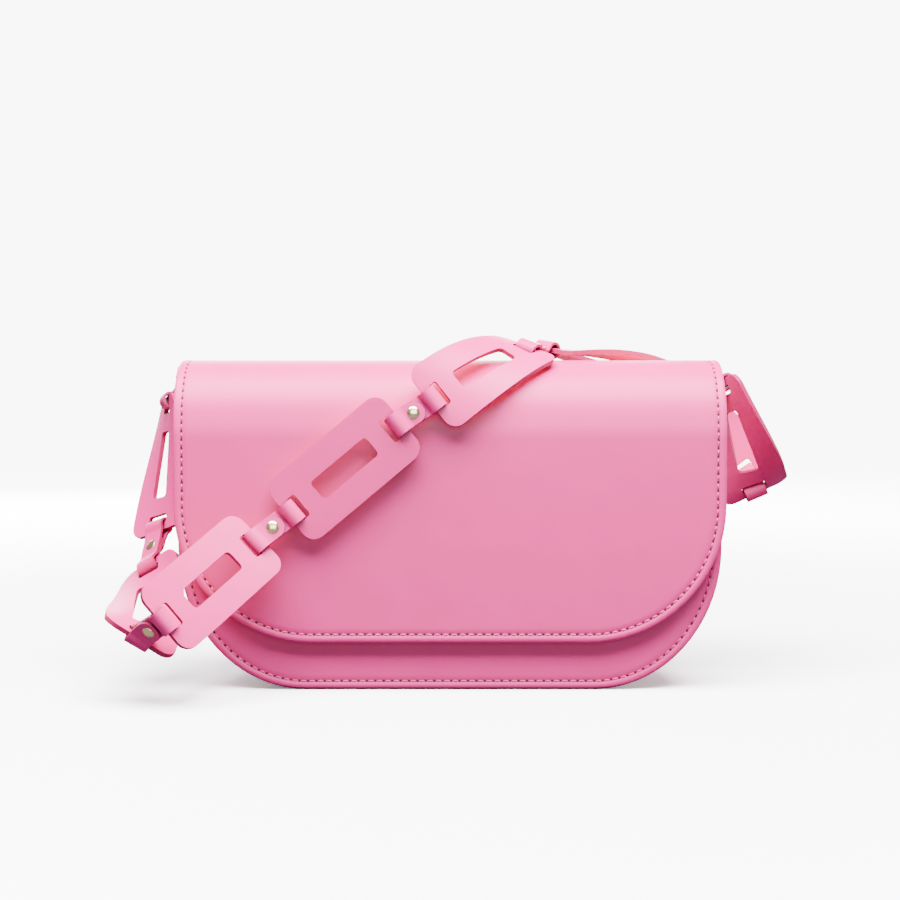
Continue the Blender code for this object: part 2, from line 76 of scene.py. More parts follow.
# ---- strap, as in the CAD part
LINK_LONG, LINK_HALF, LINK_THICK, LINK_CORNER = 66.5, 17.0, 2.2, 6.5
BAR = 4.2
SLOT_LONG, SLOT_HALF, SLOT_CORNER = 4.2, 5.9, 1.1
WINDOW_START, WINDOW_HALF, WINDOW_CORNER = 17.2, 5.0, 2.0
STRIP_HALF, STRIP_THICK = 5.3, 1.3
LOOP_RADIUS, TAB_RADIUS = 3.45, 5.2
FLAT, PAIR_STEP = 3.3, 0.95
RIVET_HEAD, RIVET_DOME = 2.9, 0.9
LINK_ROUNDING, STRIP_ROUNDING = 0.38, 0.26  # how wide a rounded cut edge is
LINKS = {
    "link_1": ((-135.5, 22.0, 133.0), (-138.2, 4.0, 68.8), (0, -0.15, -1), (0.05, -0.5, -0.86),
               (0.3, -0.94, 0.1), (0.8, -0.47, 0.32)),
    "link_2": ((-139.6, -9.0, 56.0), (-134.2, -70.0, 29.3), (0.03, -0.75, -0.66), (0.05, -0.97, -0.25),
               (0.75, -0.45, 0.45), (0.79, 0.18, -0.55)),
    "link_3": ((-122.5, -82.0, 38.2), (-85.4, -40.8, 70.3), (0, 0, 0), (0, 0, 0),
               (0.63, 0.05, -0.77), (0.7, -0.1, -0.7)),
    "link_4": ((-72.7, -38.7, 80.3), (-21.7, -38.7, 123.1), (0, 0, 0), (0, 0, 0),
               (0.643, 0.0, -0.766), (0.643, 0.0, -0.766)),
    "link_5": ((-9.2, -37.9, 131.2), (38.0, -6.0, 155.3), (0.78, 0.1, 0.62), (0.66, 0.75, 0.05),
               (0.62, -0.05, -0.77), (0.75, -0.6, -0.28)),
    "link_6": ((44.5, 8.5, 155.6), (100.0, 42.0, 139.8), (0.72, 0.68, -0.08), (0.5, 0.78, -0.4),
               (0.74, -0.66, -0.15), (0.83, -0.42, 0.3)),
    "link_7": ((106.5, 58.5, 137.5), (149.5, 51.0, 91.5), (0.62, 0.1, -0.75), (0.5, -0.3, -0.8),
               (0.76, -0.3, 0.55), (0.84, 0.0, 0.53)),
    "link_8": ((150.0, 33.0, 85.5), (132.4, 24.3, 141.0), (-0.3, -0.8, 0.6), (-0.2, 0.2, 0.97),
               (0.87, -0.1, 0.48), (0.2, -0.95, 0.1)),
}
ANCHOR_LEFT, ANCHOR_RIGHT = (-129.8, 23.7, 142.0), (127.6, 22.0, 128.5)
ANCHOR_HALF, ANCHOR_THICK, ANCHOR_INNER, ANCHOR_OFF = 4.5, 1.6, 121.1, 4.4

PINK = (0.92, 0.028, 0.29)
# the edge colour, darker than the face: partly the real edge paint, partly painted shade that draws a dark
# outline round links and strips
EDGE_PAINT_AND_SHADE_PINK = (0.50, 0.010, 0.12)
PEBBLE_SCALE, PORE_SCALE, WAVE_SCALE, TONE_SCALE = 1100.0, 2600.0, 34.0, 60.0
CUT = 1  # the material index of a cut edge and of the rounding along a link or strip, which take the darker edge colour with its painted shade
PAINTED_SHADE_REACH, PAINTED_SHADE_DARKEST = 0.0035, 0.3  # how far painted shade reaches into hollows and gaps, and how dark it gets there

# ---- studio, in metres, watts and degrees
CAMERA_PLACE, CAMERA_DOWN, CAMERA_LENS = (0.0, -0.783, 0.147), 2.85, 66.6
WORLD, SURROUND = 0.30, 8.8
FLOOR_HALF = 60.0
PAPER_BOUNCE, PAPER_WHITE = 0.08, 1.6
GLOW_NEAR, GLOW_FAR = (0.2, 0.2), (1.0, 8.3)  # (distance from the bag, glow)
LIGHTS = {  # place, aim, size, power, and whether it lights matt surfaces or only shows in gloss
    "key": ((-0.03, -0.28, 0.85), (0.0, 0.0, 0.08), (1.0, 0.55), 52.0, True),
    "shine": ((0.15, -1.3, 0.45), (0.0, 0.0, 0.08), (1.2, 0.8), 18.0, False),
    "back": ((-0.3, 1.1, 0.5), (0.0, 0.0, 0.08), (1.2, 0.6), 24.0, True),
    "right": ((1.2, 0.15, 0.4), (0.0, 0.0, 0.08), (0.8, 0.6), 8.0, True),
}


# ---------------------------------------------------------------- small helpers
def unit(v):
    v = np.asarray(v, float)
    return v / np.linalg.norm(v)


def add_mesh(name, points, faces, smooth=True):
    """A closed mesh, facing out, from points in millimetres."""
    mesh = bpy.data.meshes.new(name)
    mesh.from_pydata((np.asarray(points, float) * MM).tolist(), [], faces)
    shape = bmesh.new()
    shape.from_mesh(mesh)
    bmesh.ops.remove_doubles(shape, verts=shape.verts, dist=1e-6)
    bmesh.ops.recalc_face_normals(shape, faces=shape.faces)
    shape.to_mesh(mesh)
    shape.free()
    thing = bpy.data.objects.new(name, mesh)
    bpy.context.scene.collection.objects.link(thing)
    if smooth:
        mesh.polygons.foreach_set("use_smooth", [True] * len(mesh.polygons))
    return thing


def soften(thing, width, segments=2, angle=0.6, material=-1):
    """Round the hard edges of a thing, and keep its faces flat between them. The rounding has the
    material of that index, or with -1 that of the faces beside it."""
    step = thing.modifiers.new("edges", "BEVEL")
    step.width = width * MM
    step.segments = segments
    step.limit_method = "ANGLE"
    step.angle_limit = angle
    step.material = material
    normals = thing.modifiers.new("normals", "WEIGHTED_NORMAL")
    normals.keep_sharp = False
    return thing


def apply_modifiers(thing):
    bpy.context.view_layer.objects.active = thing
    thing.select_set(True)
    for step in list(thing.modifiers):
        bpy.ops.object.modifier_apply(modifier=step.name)
    thing.select_set(False)


def finish(thing, body, nodes, look, edge=None):
    """Give a piece its material, hide the CAD nodes it stands for, and attach it to the body it moves
    with. Faces with material index CUT are cut edges."""
    thing.data.materials.append(look)
    if edge:
        thing.data.materials.append(edge)
    if nodes:
        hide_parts(*nodes)
    if body:
        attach(thing, body)
    return thing


def through_curve(knots, step):
    """Points along a smooth curve through the knots (Catmull-Rom), about one step apart."""
    knots = [np.asarray(k, float) for k in knots]
    ends = [2 * knots[0] - knots[1]] + knots + [2 * knots[-1] - knots[-2]]
    points = [knots[0]]
    for a, b, c, d in zip(ends, ends[1:], ends[2:], ends[3:]):
        count = max(1, round(np.linalg.norm(c - b) / step))
        for k in range(1, count + 1):
            t = k / count
            points.append(0.5 * (2 * b + (c - a) * t + (2 * a - 5 * b + 4 * c - d) * t * t
                                 + (3 * b - a - 3 * c + d) * t ** 3))
    return points


def left_normals(line):
    along = np.gradient(np.asarray(line, float), axis=0)
    along /= np.linalg.norm(along, axis=1)[:, None]
    return np.stack([-along[:, 1], along[:, 0]], axis=1)


def grid_faces(rows, columns, start=0):
    """Quads over a grid of points numbered row by row."""
    return [[start + i * columns + j, start + i * columns + j + 1,
             start + (i + 1) * columns + j + 1, start + (i + 1) * columns + j]
            for i in range(rows - 1) for j in range(columns - 1)]


# ---------------------------------------------------------------- materials
def leather_material(name, colour, rough=0.42, grain=0.12):
    """Smooth leather: pores, a fine pebble, a slow wave in the skin, and a little change in colour
    and gloss from place to place, with painted shade darkening the colour in hollows and gaps."""
    made = plain_material(name, colour, rough)
    tree = made.node_tree
    shader = tree.nodes["Principled BSDF"]
    shader.inputs["Specular IOR Level"].default_value = 0.28
    shader.inputs["Coat Weight"].default_value = 0.04
    shader.inputs["Coat Roughness"].default_value = 0.3
    place = tree.nodes.new("ShaderNodeTexCoord")

    def texture(kind, scale, output, **settings):
        node = tree.nodes.new(kind)
        node.inputs["Scale"].default_value = scale
        for socket, value in settings.items():
            node.inputs[socket].default_value = value
        tree.links.new(place.outputs["Object"], node.inputs["Vector"])
        return node.outputs[output]

    pebble = texture("ShaderNodeTexVoronoi", PEBBLE_SCALE, "Distance", Randomness=0.9)
    pores = texture("ShaderNodeTexNoise", PORE_SCALE, "Fac", Detail=2.0)
    wave = texture("ShaderNodeTexNoise", WAVE_SCALE, "Fac", Detail=2.0)
    tone = texture("ShaderNodeTexNoise", TONE_SCALE, "Fac", Detail=4.0)
    normal = None
    for height, strength, depth in ((wave, 0.14, 0.0009), (pebble, grain, 0.00012), (pores, grain, 0.0001)):
        bump = tree.nodes.new("ShaderNodeBump")
        bump.inputs["Strength"].default_value = strength
        bump.inputs["Distance"].default_value = depth
        tree.links.new(height, bump.inputs["Height"])
        if normal:
            tree.links.new(normal, bump.inputs["Normal"])
        normal = bump.outputs["Normal"]
    tree.links.new(normal, shader.inputs["Normal"])

    shade = tree.nodes.new("ShaderNodeMix")
    shade.data_type = "RGBA"
    shade.inputs["A"].default_value = (*[0.95 * c for c in colour], 1.0)
    shade.inputs["B"].default_value = (*[min(1.0, 1.05 * c) for c in colour], 1.0)
    tree.links.new(tone, shade.inputs["Factor"])
    # painted shade: ambient occlusion darkens the base colour in hollows, slots and gaps between parts
    shade_occlusion = tree.nodes.new("ShaderNodeAmbientOcclusion")
    shade_occlusion.samples = 6
    shade_occlusion.inputs["Distance"].default_value = PAINTED_SHADE_REACH
    depth = tree.nodes.new("ShaderNodeMapRange")
    depth.inputs["From Min"].default_value = 0.15
    depth.inputs["From Max"].default_value = 0.85
    depth.inputs["To Min"].default_value = PAINTED_SHADE_DARKEST
    tree.links.new(shade_occlusion.outputs["AO"], depth.inputs["Value"])
    painted_shade = tree.nodes.new("ShaderNodeMix")
    painted_shade.data_type = "RGBA"
    painted_shade.blend_type = "MULTIPLY"
    painted_shade.inputs["Factor"].default_value = 1.0
    tree.links.new(shade.outputs["Result"], painted_shade.inputs["A"])
    tree.links.new(depth.outputs["Result"], painted_shade.inputs["B"])
    tree.links.new(painted_shade.outputs["Result"], shader.inputs["Base Color"])
    gloss = tree.nodes.new("ShaderNodeMapRange")
    gloss.inputs["To Min"].default_value = rough - 0.05
    gloss.inputs["To Max"].default_value = rough + 0.05
    tree.links.new(tone, gloss.inputs["Value"])
    tree.links.new(gloss.outputs["Result"], shader.inputs["Roughness"])
    return made


def plain_material(name, colour, rough, metal=0.0):
    made = bpy.data.materials.new(name)
    made.use_nodes = True
    shader = made.node_tree.nodes["Principled BSDF"]
    shader.inputs["Base Color"].default_value = (*colour, 1.0)
    shader.inputs["Roughness"].default_value = rough
    shader.inputs["Metallic"].default_value = metal
    return made


def cloth_material(name, colour):
    made = plain_material(name, colour, 0.85)
    tree = made.node_tree
    shader = tree.nodes["Principled BSDF"]
    place = tree.nodes.new("ShaderNodeTexCoord")
    bump = tree.nodes.new("ShaderNodeBump")
    bump.inputs["Strength"].default_value = 0.25
    bump.inputs["Distance"].default_value = 0.0003
    add = tree.nodes.new("ShaderNodeMath")
    for k, direction in enumerate(("X", "Z")):
        wave = tree.nodes.new("ShaderNodeTexWave")
        wave.bands_direction = direction
        wave.inputs["Scale"].default_value = 400.0
        tree.links.new(place.outputs["Object"], wave.inputs["Vector"])
        tree.links.new(wave.outputs["Fac"], add.inputs[k])
    tree.links.new(add.outputs[0], bump.inputs["Height"])
    tree.links.new(bump.outputs["Normal"], shader.inputs["Normal"])
    return made


# ---------------------------------------------------------------- sheets of leather
class Profile:
    """The side view of a bent sheet as a line of (y, z), addressed by length along it."""

    def __init__(self, points, outward=-1.0):
        self.points = np.asarray(points, float)
        steps = np.linalg.norm(np.diff(self.points, axis=0), axis=1)
        self.along = np.concatenate([[0.0], np.cumsum(steps)])
        self.normals = outward * left_normals(self.points)
        self.long = self.along[-1]

    def at(self, v):
        y = np.interp(v, self.along, self.points[:, 0])
        z = np.interp(v, self.along, self.points[:, 1])
        n = unit([np.interp(v, self.along, self.normals[:, 0]), np.interp(v, self.along, self.normals[:, 1])])
        return np.array([y, z]), n

    def place(self, x, v, n):
        over = max(0.0, v - self.long)
        at, normal = self.at(min(v, self.long))
        y, z = at + normal * n
        return (x, y, z - over)


def corner_outline(half, wide, high, long, inset, count):
    """The left bottom corner of a sheet's edge, inset, as (x, v): v runs from the top to the
    bottom. Points go round the corner, from the side down to the bottom edge."""
    a, b = wide - inset, high - inset
    centre = (-(half - wide), long - high)
    corner = []
    for k in range(count + 1):
        turn = 0.5 * np.pi * k / count
        corner.append((centre[0] - a * np.cos(turn), centre[1] + b * np.sin(turn)))
    return corner


def edge_finish(d):
    return float(np.interp(d, [e[0] for e in EDGE], [e[1] for e in EDGE]))


def leather_sheet(name, profile, half, wide, high, thick, top_edge, columns=44, corner=18, step=3.0):
    """A sheet with rounded bottom corners, a raised rim and a groove for its stitches. The top edge
    is finished too when top_edge is true."""
    insets = [e[0] for e in EDGE]
    long = profile.long
    straight = list(np.arange(0.0, long - high, step)[:-1])
    if top_edge:
        straight = insets[:-1] + [v for v in straight if v > insets[-1] + 1.0]
    rings = []
    for inset in insets:
        side = [(-(half - inset), v) for v in straight]
        rings.append(side + corner_outline(half, wide, high, long, inset, corner))
    rows = len(rings[0])
    last = rings[-1]
    points, index = [], {}

    def put(key, x, v, d):
        edge = d
        if top_edge:
            edge = min(d, max(0.0, v))
        index[key] = len(points)
        points.append(profile.place(x, v, edge_finish(edge)))

    for i in range(rows):
        for r, inset in enumerate(insets):
            x, v = rings[r][i]
            put(("l", r, i), x, v, inset)
            put(("r", r, i), -x, v, inset)
        x, v = last[i]
        for c in range(1, columns):
            put(("c", c, i), x + (-2 * x) * c / columns, v, 99.0)
    deep = len(insets) - 1
    for r, inset in enumerate(insets[:-1]):
        x, v = rings[r][rows - 1]
        for c in range(1, columns):
            put(("b", c, r), x + (-2 * x) * c / columns, v, inset)

    def column(c, i):
        if c == 0:
            return index[("l", deep, i)]
        if c == columns:
            return index[("r", deep, i)]
        return index[("c", c, i)]

    def below(c, r):
        if r == deep:
            return column(c, rows - 1)
        if c == 0:
            return index[("l", r, rows - 1)]
        if c == columns:
            return index[("r", r, rows - 1)]
        return index[("b", c, r)]

    faces = []
    for i in range(rows - 1):
        for r in range(deep):
            faces.append([index[("l", r, i)], index[("l", r + 1, i)], index[("l", r + 1, i + 1)],
                          index[("l", r, i + 1)]])
            faces.append([index[("r", r + 1, i)], index[("r", r, i)], index[("r", r, i + 1)],
                          index[("r", r + 1, i + 1)]])
        for c in range(columns):
            faces.append([column(c, i), column(c + 1, i), column(c + 1, i + 1), column(c, i + 1)])
    for c in range(columns):
        for r in range(deep):
            faces.append([below(c, r + 1), below(c + 1, r + 1), below(c + 1, r), below(c, r)])

    rim = [index[("l", 0, i)] for i in range(rows)]
    rim += [below(c, 0) for c in range(1, columns)]
    rim += [index[("r", 0, i)] for i in reversed(range(rows))]
    rim += [index[("r", r, 0)] for r in range(1, deep + 1)]
    rim += [column(c, 0) for c in range(columns - 1, 0, -1)]
    rim += [index[("l", r, 0)] for r in range(deep, 0, -1)]
    # the underside: the same points set down by the thickness, joined to the face round the rim
    flat = []
    for key, k in index.items():
        flat.append((key, k))
    under = {}
    for key, k in flat:
        kind, first, second = key
        if kind in ("l", "r"):
            x, v = rings[first][second]
            x = x if kind == "l" else -x
        elif kind == "c":
            x0, v = last[second]
            x = x0 - 2 * x0 * first / columns
        else:
            x0, v = rings[second][rows - 1]
            x = x0 - 2 * x0 * first / columns
        under[k] = len(points)
        points.append(profile.place(x, v, -thick))
    count = len(faces)
    faces += [[under[v] for v in face[::-1]] for face in faces[:count]]
    faces += [[b, a, under[a], under[b]] for a, b in zip(rim, rim[1:] + rim[:1])]
    return add_mesh(name, points, faces)


def stitch_line(half, wide, high, long, top_edge):
    """The line of stitches of a sheet as (x, v), from its top left round to its top right."""
    inset = STITCH_INSET
    left = [(-(half - inset), inset if top_edge else 1.0), (-(half - inset), long - high)]
    left += corner_outline(half, wide, high, long, inset, 40)
    line = left + [(-x, v) for x, v in reversed(left)]
    if top_edge:
        line.append(line[0])
    return np.array(line)


def spaced(line, pitch):
    """Points a pitch apart along a line, with the direction at each."""
    steps = np.linalg.norm(np.diff(line, axis=0), axis=1)
    along = np.concatenate([[0.0], np.cumsum(steps)])
    count = int(round(along[-1] / pitch))
    spots = (np.arange(count) + 0.5) * along[-1] / count
    result = []
    for s in spots:
        p = [np.interp(s, along, line[:, k]) for k in (0, 1)]
        q = [np.interp(min(along[-1], s + 0.5), along, line[:, k]) for k in (0, 1)]
        o = [np.interp(max(0.0, s - 0.5), along, line[:, k]) for k in (0, 1)]
        result.append((np.array(p), unit(np.subtract(q, o))))
    return result


def stitches(name, profile, line, body, looks):
    """Thread lying in the groove, and between the stitches dark discs of painted shade that stand for the
    stitch holes.
    """
    thread_points, thread_faces, hole_shade_points, hole_shade_faces = [], [], [], []
    turns = np.linspace(0, 2 * np.pi, 7)[:-1]
    for p, d in spaced(line, STITCH_PITCH):
        side = np.array([-d[1], d[0]])
        base = len(thread_points)
        for t, swell in ((-0.5, 0.25), (-0.38, 0.85), (0.0, 1.0), (0.38, 0.85), (0.5, 0.25)):
            middle = p + d * THREAD_LONG * t
            lift = THREAD_LIFT - 0.3 * (1.0 - swell)
            for a in turns:
                q = middle + side * THREAD_RADIUS * swell * np.cos(a)
                thread_points.append(profile.place(q[0], q[1], lift + THREAD_RADIUS * swell * np.sin(a)))
        for ring in range(4):
            for k in range(6):
                thread_faces.append([base + 6 * ring + k, base + 6 * ring + (k + 1) % 6,
                                     base + 6 * ring + 6 + (k + 1) % 6, base + 6 * ring + 6 + k])
        thread_faces += [[base + k for k in range(6)], [base + 24 + k for k in range(6)]]
        # a dark disc of painted shade at each stitch hole
        spot = p + d * STITCH_PITCH / 2
        base = len(hole_shade_points)
        for lift in (HOLE_SHADE_LIFT - 0.4, HOLE_SHADE_LIFT):
            for k in range(8):
                a = 2 * np.pi * k / 8
                q = spot + d * np.cos(a) * HOLE_SHADE_LONG + side * np.sin(a) * HOLE_SHADE_WIDE
                hole_shade_points.append(profile.place(q[0], q[1], lift))
        hole_shade_faces += [[base + k, base + (k + 1) % 8, base + 8 + (k + 1) % 8, base + 8 + k]
                       for k in range(8)]
        hole_shade_faces += [[base + k for k in range(8)], [base + 8 + k for k in range(8)]]
    thread = add_mesh(f"{name}_thread", thread_points, thread_faces)
    finish(thread, body, [], looks["thread"])
    holes = add_mesh(f"{name}_painted_hole_shade", hole_shade_points, hole_shade_faces, smooth=False)
    finish(holes, body, [], looks["hole"])


# ---------------------------------------------------------------- the bag
def roll_split(step):
    points = through_curve(ROLL, step)
    turn = next(k for k, p in enumerate(points) if np.allclose(p, FOLD))
    return points[:turn + 1], points[turn:]


def make_bag(looks):
    back_roll, crown = roll_split(1.5)
    crown[0] = crown[0] + unit(crown[1] - crown[0]) * SEAM
    down = [(FLAP_Y, z) for z in np.linspace(116.0, FLAP_BOTTOM, 30)]
    flap_line = Profile(crown + down)
    flap = leather_sheet("flap_leather", flap_line, FLAP_HALF, FLAP_CORNER, FLAP_CORNER, FLAP_THICK, False)
    finish(flap, "flap", ["flap"], looks["leather"])
    line = stitch_line(FLAP_HALF, FLAP_CORNER, FLAP_CORNER, flap_line.long, False)
    stitches("flap", flap_line, line, "flap", looks)

    points = np.array(crown + down)
    normals = left_normals(points)
    inner_line = Profile(points + normals * (FLAP_THICK + 0.05))
    lining = plain_sheet("flap_lining_cloth", inner_line, FLAP_HALF - 1.0, FLAP_CORNER - 1.0,
                         FLAP_CORNER - 1.0, 0.8)
    finish(lining, "flap", ["flap_lining"], looks["cloth"])

    back_roll[-1] = back_roll[-1] + unit(back_roll[-2] - back_roll[-1]) * SEAM
    points = back_roll[::-1] + [(BACK_Y, z) for z in np.linspace(119.0, 0.0, 32)]
    back_line = Profile(points, 1.0)
    back = leather_sheet("back_panel_leather", back_line, PANEL_HALF, CORNER_WIDE, CORNER_HIGH, PANEL_THICK,
                         False)
    finish(back, "bag", ["back_panel"], looks["leather"])
    line = stitch_line(PANEL_HALF, CORNER_WIDE, CORNER_HIGH, back_line.long, False)
    stitches("back_panel", back_line, line, "bag", looks)

    points = [(FRONT_Y, z) for z in np.linspace(FRONT_TOP, 0.0, 40)]
    front_line = Profile(points)
    front = leather_sheet("front_panel_leather", front_line, PANEL_HALF, CORNER_WIDE, CORNER_HIGH,
                          PANEL_THICK, True)
    finish(front, "bag", ["front_panel"], looks["leather"])
    line = stitch_line(PANEL_HALF, CORNER_WIDE, CORNER_HIGH, front_line.long, True)
    stitches("front_panel", front_line, line, "bag", looks)
    make_fold(looks)
    make_gusset(looks)
    make_lining(looks)
    make_snap(looks)


def make_fold(looks):
    """The leather facing inside the fold."""
    roll = np.array(through_curve(ROLL, 0.5))
    turn = int(np.argmin(np.linalg.norm(roll - FOLD, axis=1)))
    near = slice(turn - FACING_REACH, turn + FACING_REACH + 1)
    outer = roll[near] + left_normals(roll)[near] * (PANEL_THICK + SEAM)
    inner = outer + left_normals(outer) * FACING_THICK
    wide = 25
    points = [(x, y, z) for line in (outer, inner) for y, z in line
              for x in np.linspace(-FACING_HALF, FACING_HALF, wide)]
    rows = len(outer)
    faces = grid_faces(rows, wide) + [f[::-1] for f in grid_faces(rows, wide, rows * wide)]
    rim = list(range(wide)) + [wide * i + wide - 1 for i in range(1, rows)]
    rim += [(rows - 1) * wide + c for c in range(wide - 2, -1, -1)]
    rim += [wide * i for i in range(rows - 2, 0, -1)]
    faces += [[b, a, a + rows * wide, b + rows * wide] for a, b in zip(rim, rim[1:] + rim[:1])]
    facing = add_mesh("fold_facing", points, faces)
    finish(facing, None, [], looks["leather"])
    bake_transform(facing)


def plain_sheet(name, profile, half, wide, high, thick, columns=30, corner=14, step=3.0):
    """A thin sheet with rounded bottom corners."""
    long = profile.long
    outline = [(-half, v) for v in np.arange(0.0, long - high, step)[:-1]]
    outline += corner_outline(half, wide, high, long, 0.0, corner)
    points = []
    for n in (0.0, -thick):
        for x, v in outline:
            for c in range(columns + 1):
                points.append(profile.place(x - 2 * x * c / columns, v, n))
    rows, across = len(outline), columns + 1
    faces = grid_faces(rows, across) + [f[::-1] for f in grid_faces(rows, across, rows * across)]
    layer = rows * across
    rim = [i * across for i in range(rows)] + [(rows - 1) * across + c for c in range(1, across)]
    rim += [i * across + columns for i in range(rows - 2, -1, -1)] + [c for c in range(columns - 1, 0, -1)]
    faces += [[b, a, a + layer, b + layer] for a, b in zip(rim, rim[1:] + rim[:1])]
    return add_mesh(name, points, faces)


def corner_half(z, half, wide, high, bottom=0.0):
    if z >= bottom + high:
        return half
    up = np.clip((z - bottom) / high, 0.0, 1.0)
    return half - wide * (1.0 - np.sqrt(max(0.0, 1.0 - (1.0 - up) ** 2)))


def band_outline(inset, bottom, top, count=24, base=16):
    """The outline of the bag seen from the front, from its top left round to its top right."""
    half = PANEL_HALF - inset
    wide, high = CORNER_WIDE - inset * 0.5, CORNER_HIGH - inset * 0.5
    heights = [bottom + high * (1 - np.cos(0.5 * np.pi * k / count)) for k in range(count + 1)]
    right = [(corner_half(z, half, wide, high, bottom), z) for z in heights]
    right += [(half, z) for z in np.linspace(heights[-1], top, 12)[1:]]
    middle = [(x, bottom) for x in np.linspace(-right[0][0], right[0][0], base)[1:-1]]
    return [(-x, z) for x, z in right[::-1]] + middle + right


def roll_height(y):
    points = np.array(through_curve(ROLL, 1.5))[::-1]
    return float(np.interp(y, points[:, 0], points[:, 1]))


def make_gusset(looks):
    outer = np.array(band_outline(GUSSET_INSET, 0.0, FRONT_TOP))
    inner = outer + left_normals(outer) * GUSSET_THICK
    front, back = FRONT_Y + PANEL_THICK + 0.05, BACK_Y - PANEL_THICK - 0.05
    levels = np.linspace(front, back, 29)
    under = FLAP_THICK + LINING_THICK + 3 * GAP + 1.5
    tops = [max(FRONT_TOP, roll_height(y) - under) for y in levels]
    tops = [min(t, FRONT_TOP + 2.6 * (y - front), FRONT_TOP - 3 + 3.4 * (back - y))
            for t, y in zip(tops, levels)]
    count, wide = len(outer), len(levels)
    points = []
    rise = 12
    for line in (outer, inner):
        for k, (x, z) in enumerate(line):
            near = min(k, count - 1 - k)
            for y, top in zip(levels, tops):
                lift = max(0.0, 1.0 - near / rise) * (top - FRONT_TOP)
                points.append((x, y, z + lift))
    faces = grid_faces(count, wide) + [f[::-1] for f in grid_faces(count, wide, count * wide)]
    layer = count * wide
    rim = [i * wide for i in range(count)] + [(count - 1) * wide + c for c in range(1, wide)]
    rim += [i * wide + wide - 1 for i in range(count - 2, -1, -1)] + list(range(wide - 2, 0, -1))
    faces += [[b, a, a + layer, b + layer] for a, b in zip(rim, rim[1:] + rim[:1])]
    gusset = add_mesh("gusset_leather", points, faces)
    finish(soften(gusset, 0.4, 2), "bag", ["gusset"], looks["leather"])


def make_lining(looks):
    """The cloth tub: inside and outside walls joined round the mouth."""
    side = GUSSET_INSET + GUSSET_THICK + 0.1
    base = GUSSET_THICK + 0.1
    front = FRONT_Y + PANEL_THICK + 0.1
    back = BACK_Y - PANEL_THICK - 0.1

    base_points = 16

    def tub(inset, bottom, y0, y1):
        outline = band_outline(inset, bottom, LINING_TOP, base=base_points)
        levels = np.linspace(y0, y1, 13)
        walls = [(x, y, z) for x, z in outline for y in levels]
        side_points = (len(outline) - base_points + 2) // 2
        ends = [(edge, y, z) for y in (y0, y1) for x, z in outline[:side_points]
                for edge in np.linspace(x, -x, base_points)]
        return walls, ends, len(outline), len(levels), side_points

    points, faces, mouths = [], [], []
    for flip, args in ((False, (side, base, front, back)),
                       (True, (side + 0.8, base + 0.8, front + 0.8, back - 0.8))):
        walls, ends, count, wide, rows = tub(*args)
        start = len(points)
        points += walls + ends
        made = grid_faces(count, wide, start)
        for k in (0, 1):
            made += grid_faces(rows, base_points, start + count * wide + k * rows * base_points)
        faces += [f[::-1] for f in made] if flip else made
        lips = [start, start + (count - 1) * wide]
        lips = [[lip + j for j in range(wide)] for lip in lips]
        for k in (0, 1):
            lip = start + count * wide + k * rows * base_points
            lips.append([lip + j for j in range(base_points)])
        mouths.append(lips)
    for outside, inside in zip(*mouths):
        faces += [[outside[j], outside[j + 1], inside[j + 1], inside[j]] for j in range(len(outside) - 1)]
    thing = add_mesh("lining_cloth", points, faces)
    finish(thing, "bag", ["lining"], looks["cloth"])


def turned(name, middle, axis, profile, sides=40):
    """A solid of revolution from (radius, height) points."""
    axis = unit(axis)
    side = unit(np.cross(axis, (0.31, 0.52, 0.79)))
    other = np.cross(axis, side)
    points = []
    for radius, height in profile:
        for k in range(sides):
            turn = 2 * np.pi * k / sides
            rim = side * np.cos(turn) + other * np.sin(turn)
            points.append(np.asarray(middle) + axis * height + rim * radius)
    faces = [[r * sides + k, r * sides + (k + 1) % sides, (r + 1) * sides + (k + 1) % sides,
              (r + 1) * sides + k] for r in range(len(profile) - 1) for k in range(sides)]
    faces += [list(range(sides)), list(range(len(points) - sides, len(points)))]
    return add_mesh(name, points, faces)


def make_snap(looks):
    disc = [(0.4, 0.0), (2.2, 0.0), (2.4, 0.35), (6.2, 0.35), (6.75, 0.2), (7.0, -0.1), (7.0, -0.9),
            (0.4, -0.9)]
    lower = turned("snap_lower_disc", (0.0, FRONT_Y - 0.1, SNAP_Z), (0, -1, 0), disc)
    finish(lower, "bag", ["snap_lower"], looks["gold"])
    y = FLAP_Y + FLAP_THICK + 1.0
    upper = turned("snap_upper_disc", (0.0, y, SNAP_Z), (0, 1, 0), disc)
    finish(upper, "flap", ["snap_upper"], looks["gold"])


# ---------------------------------------------------------------- the strap
class Ribbon:
    """A curve with a direction across it: places flat (s, w, n) points in space."""

    def __init__(self, start, end, leave, arrive, across_start, across_end, long):
        self.p0, self.p1 = np.asarray(start, float), np.asarray(end, float)
        chord = self.p1 - self.p0
        size = np.linalg.norm(chord)
        self.t0 = unit(leave) * size if np.any(leave) else chord
        self.t1 = unit(arrive) * size if np.any(arrive) else chord
        self.w0, self.w1 = unit(across_start), unit(across_end)
        self.long = long

    def frame(self, s):
        u = min(1.0, max(0.0, s / self.long))
        p = ((2 * u ** 3 - 3 * u * u + 1) * self.p0 + (u ** 3 - 2 * u * u + u) * self.t0
             + (3 * u * u - 2 * u ** 3) * self.p1 + (u ** 3 - u * u) * self.t1)
        d = ((6 * u * u - 6 * u) * (self.p0 - self.p1) + (3 * u * u - 4 * u + 1) * self.t0
             + (3 * u * u - 2 * u) * self.t1)
        return p, unit(d), unit(self.w0 * (1 - u) + self.w1 * u), s - u * self.long


